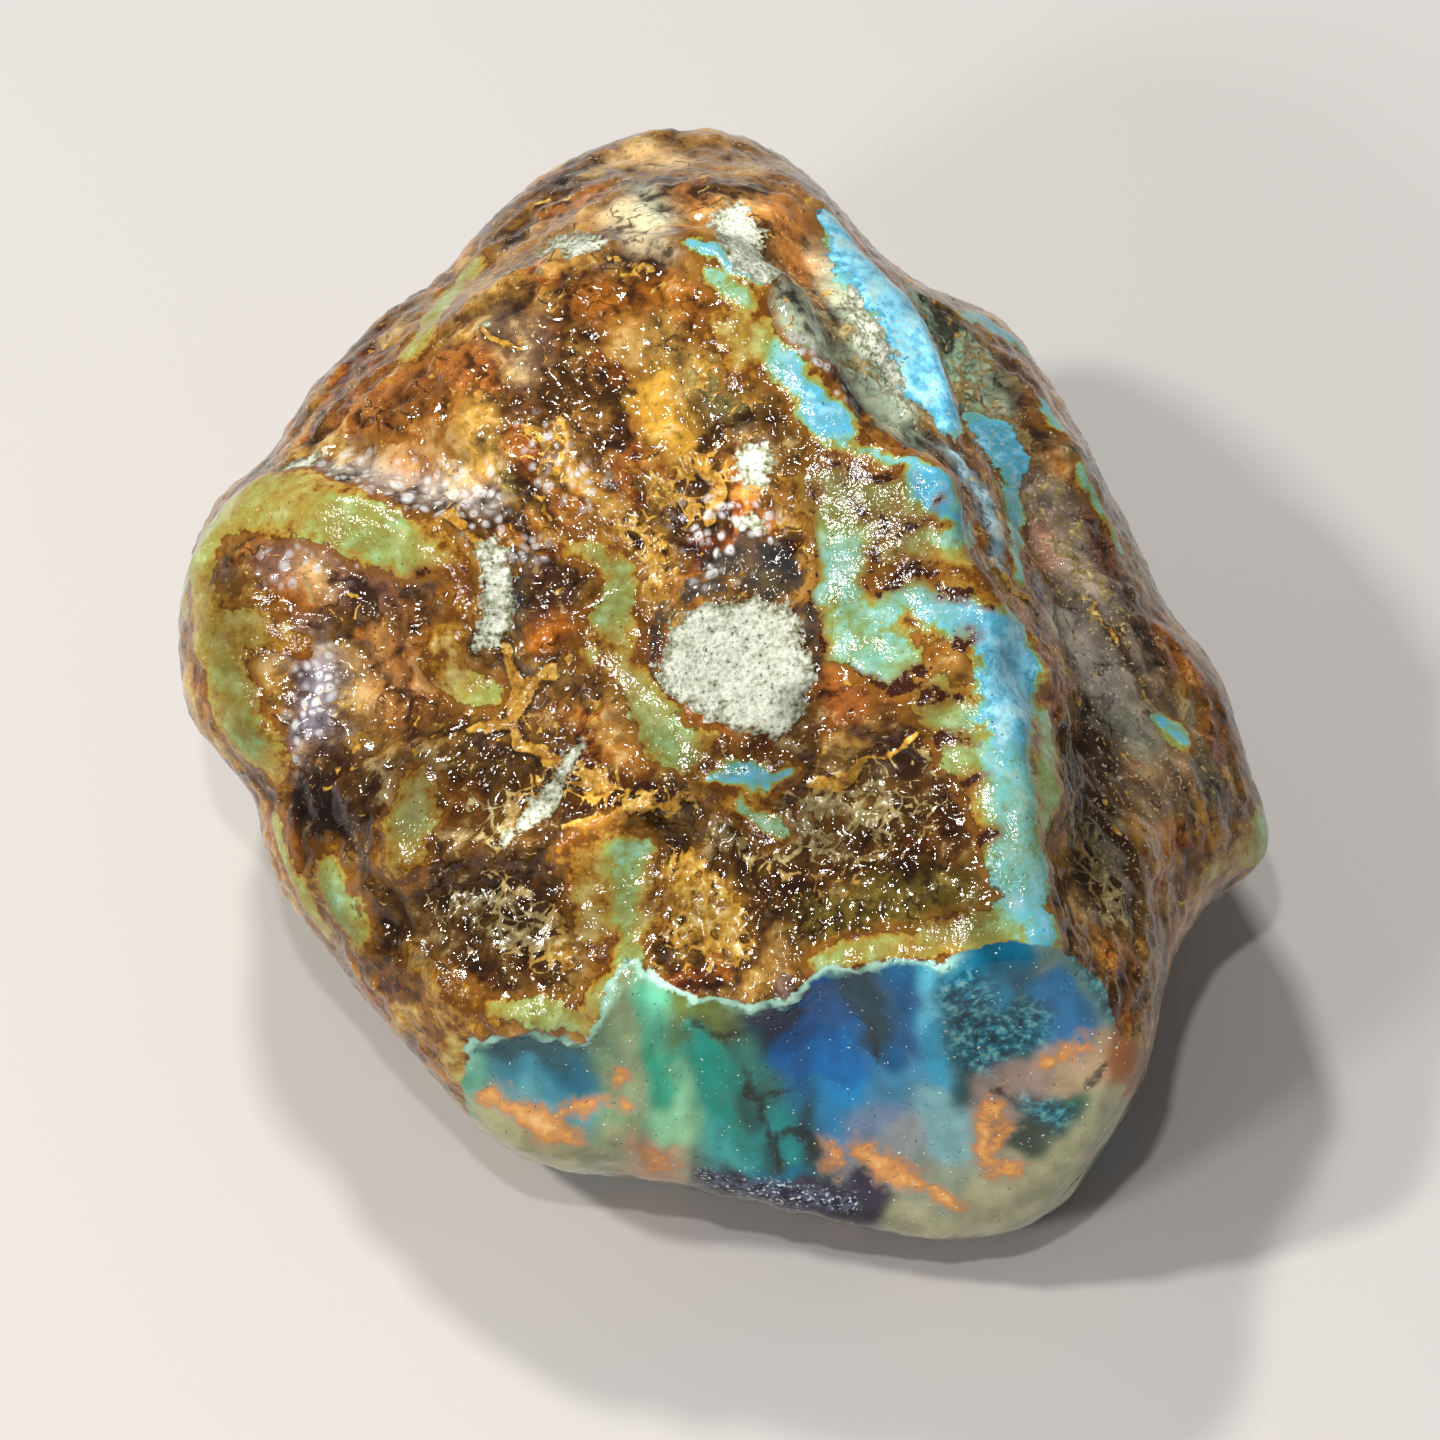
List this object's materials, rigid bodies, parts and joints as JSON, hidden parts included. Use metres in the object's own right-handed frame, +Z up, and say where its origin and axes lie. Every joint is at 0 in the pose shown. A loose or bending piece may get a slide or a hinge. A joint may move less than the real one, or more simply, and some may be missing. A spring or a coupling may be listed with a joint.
{
  "type": "rough opal specimen",
  "caption": "Rough lump of precious opal in brown host rock, crusted and banded on top, with a clear blue-green broken face at the front, resting on a small flat underside.",
  "frame": {"origin": "on the flat that the stone rests on, right under the middle of the stone", "axes": "+Z up, -Y towards the side with the clear broken face, +X to the right of it; the stone is longest along Y"},
  "size_m": [0.0438, 0.0447, 0.032],
  "materials": {
    "opal_in_host": "wet-looking gloss over mottled brown host, with green, teal and blue opal bands, white clay patches and a clear broken face"
  },
  "bodies": {
    "root": {"opal_stone": "opal_in_host"}
  },
  "joints": []
}
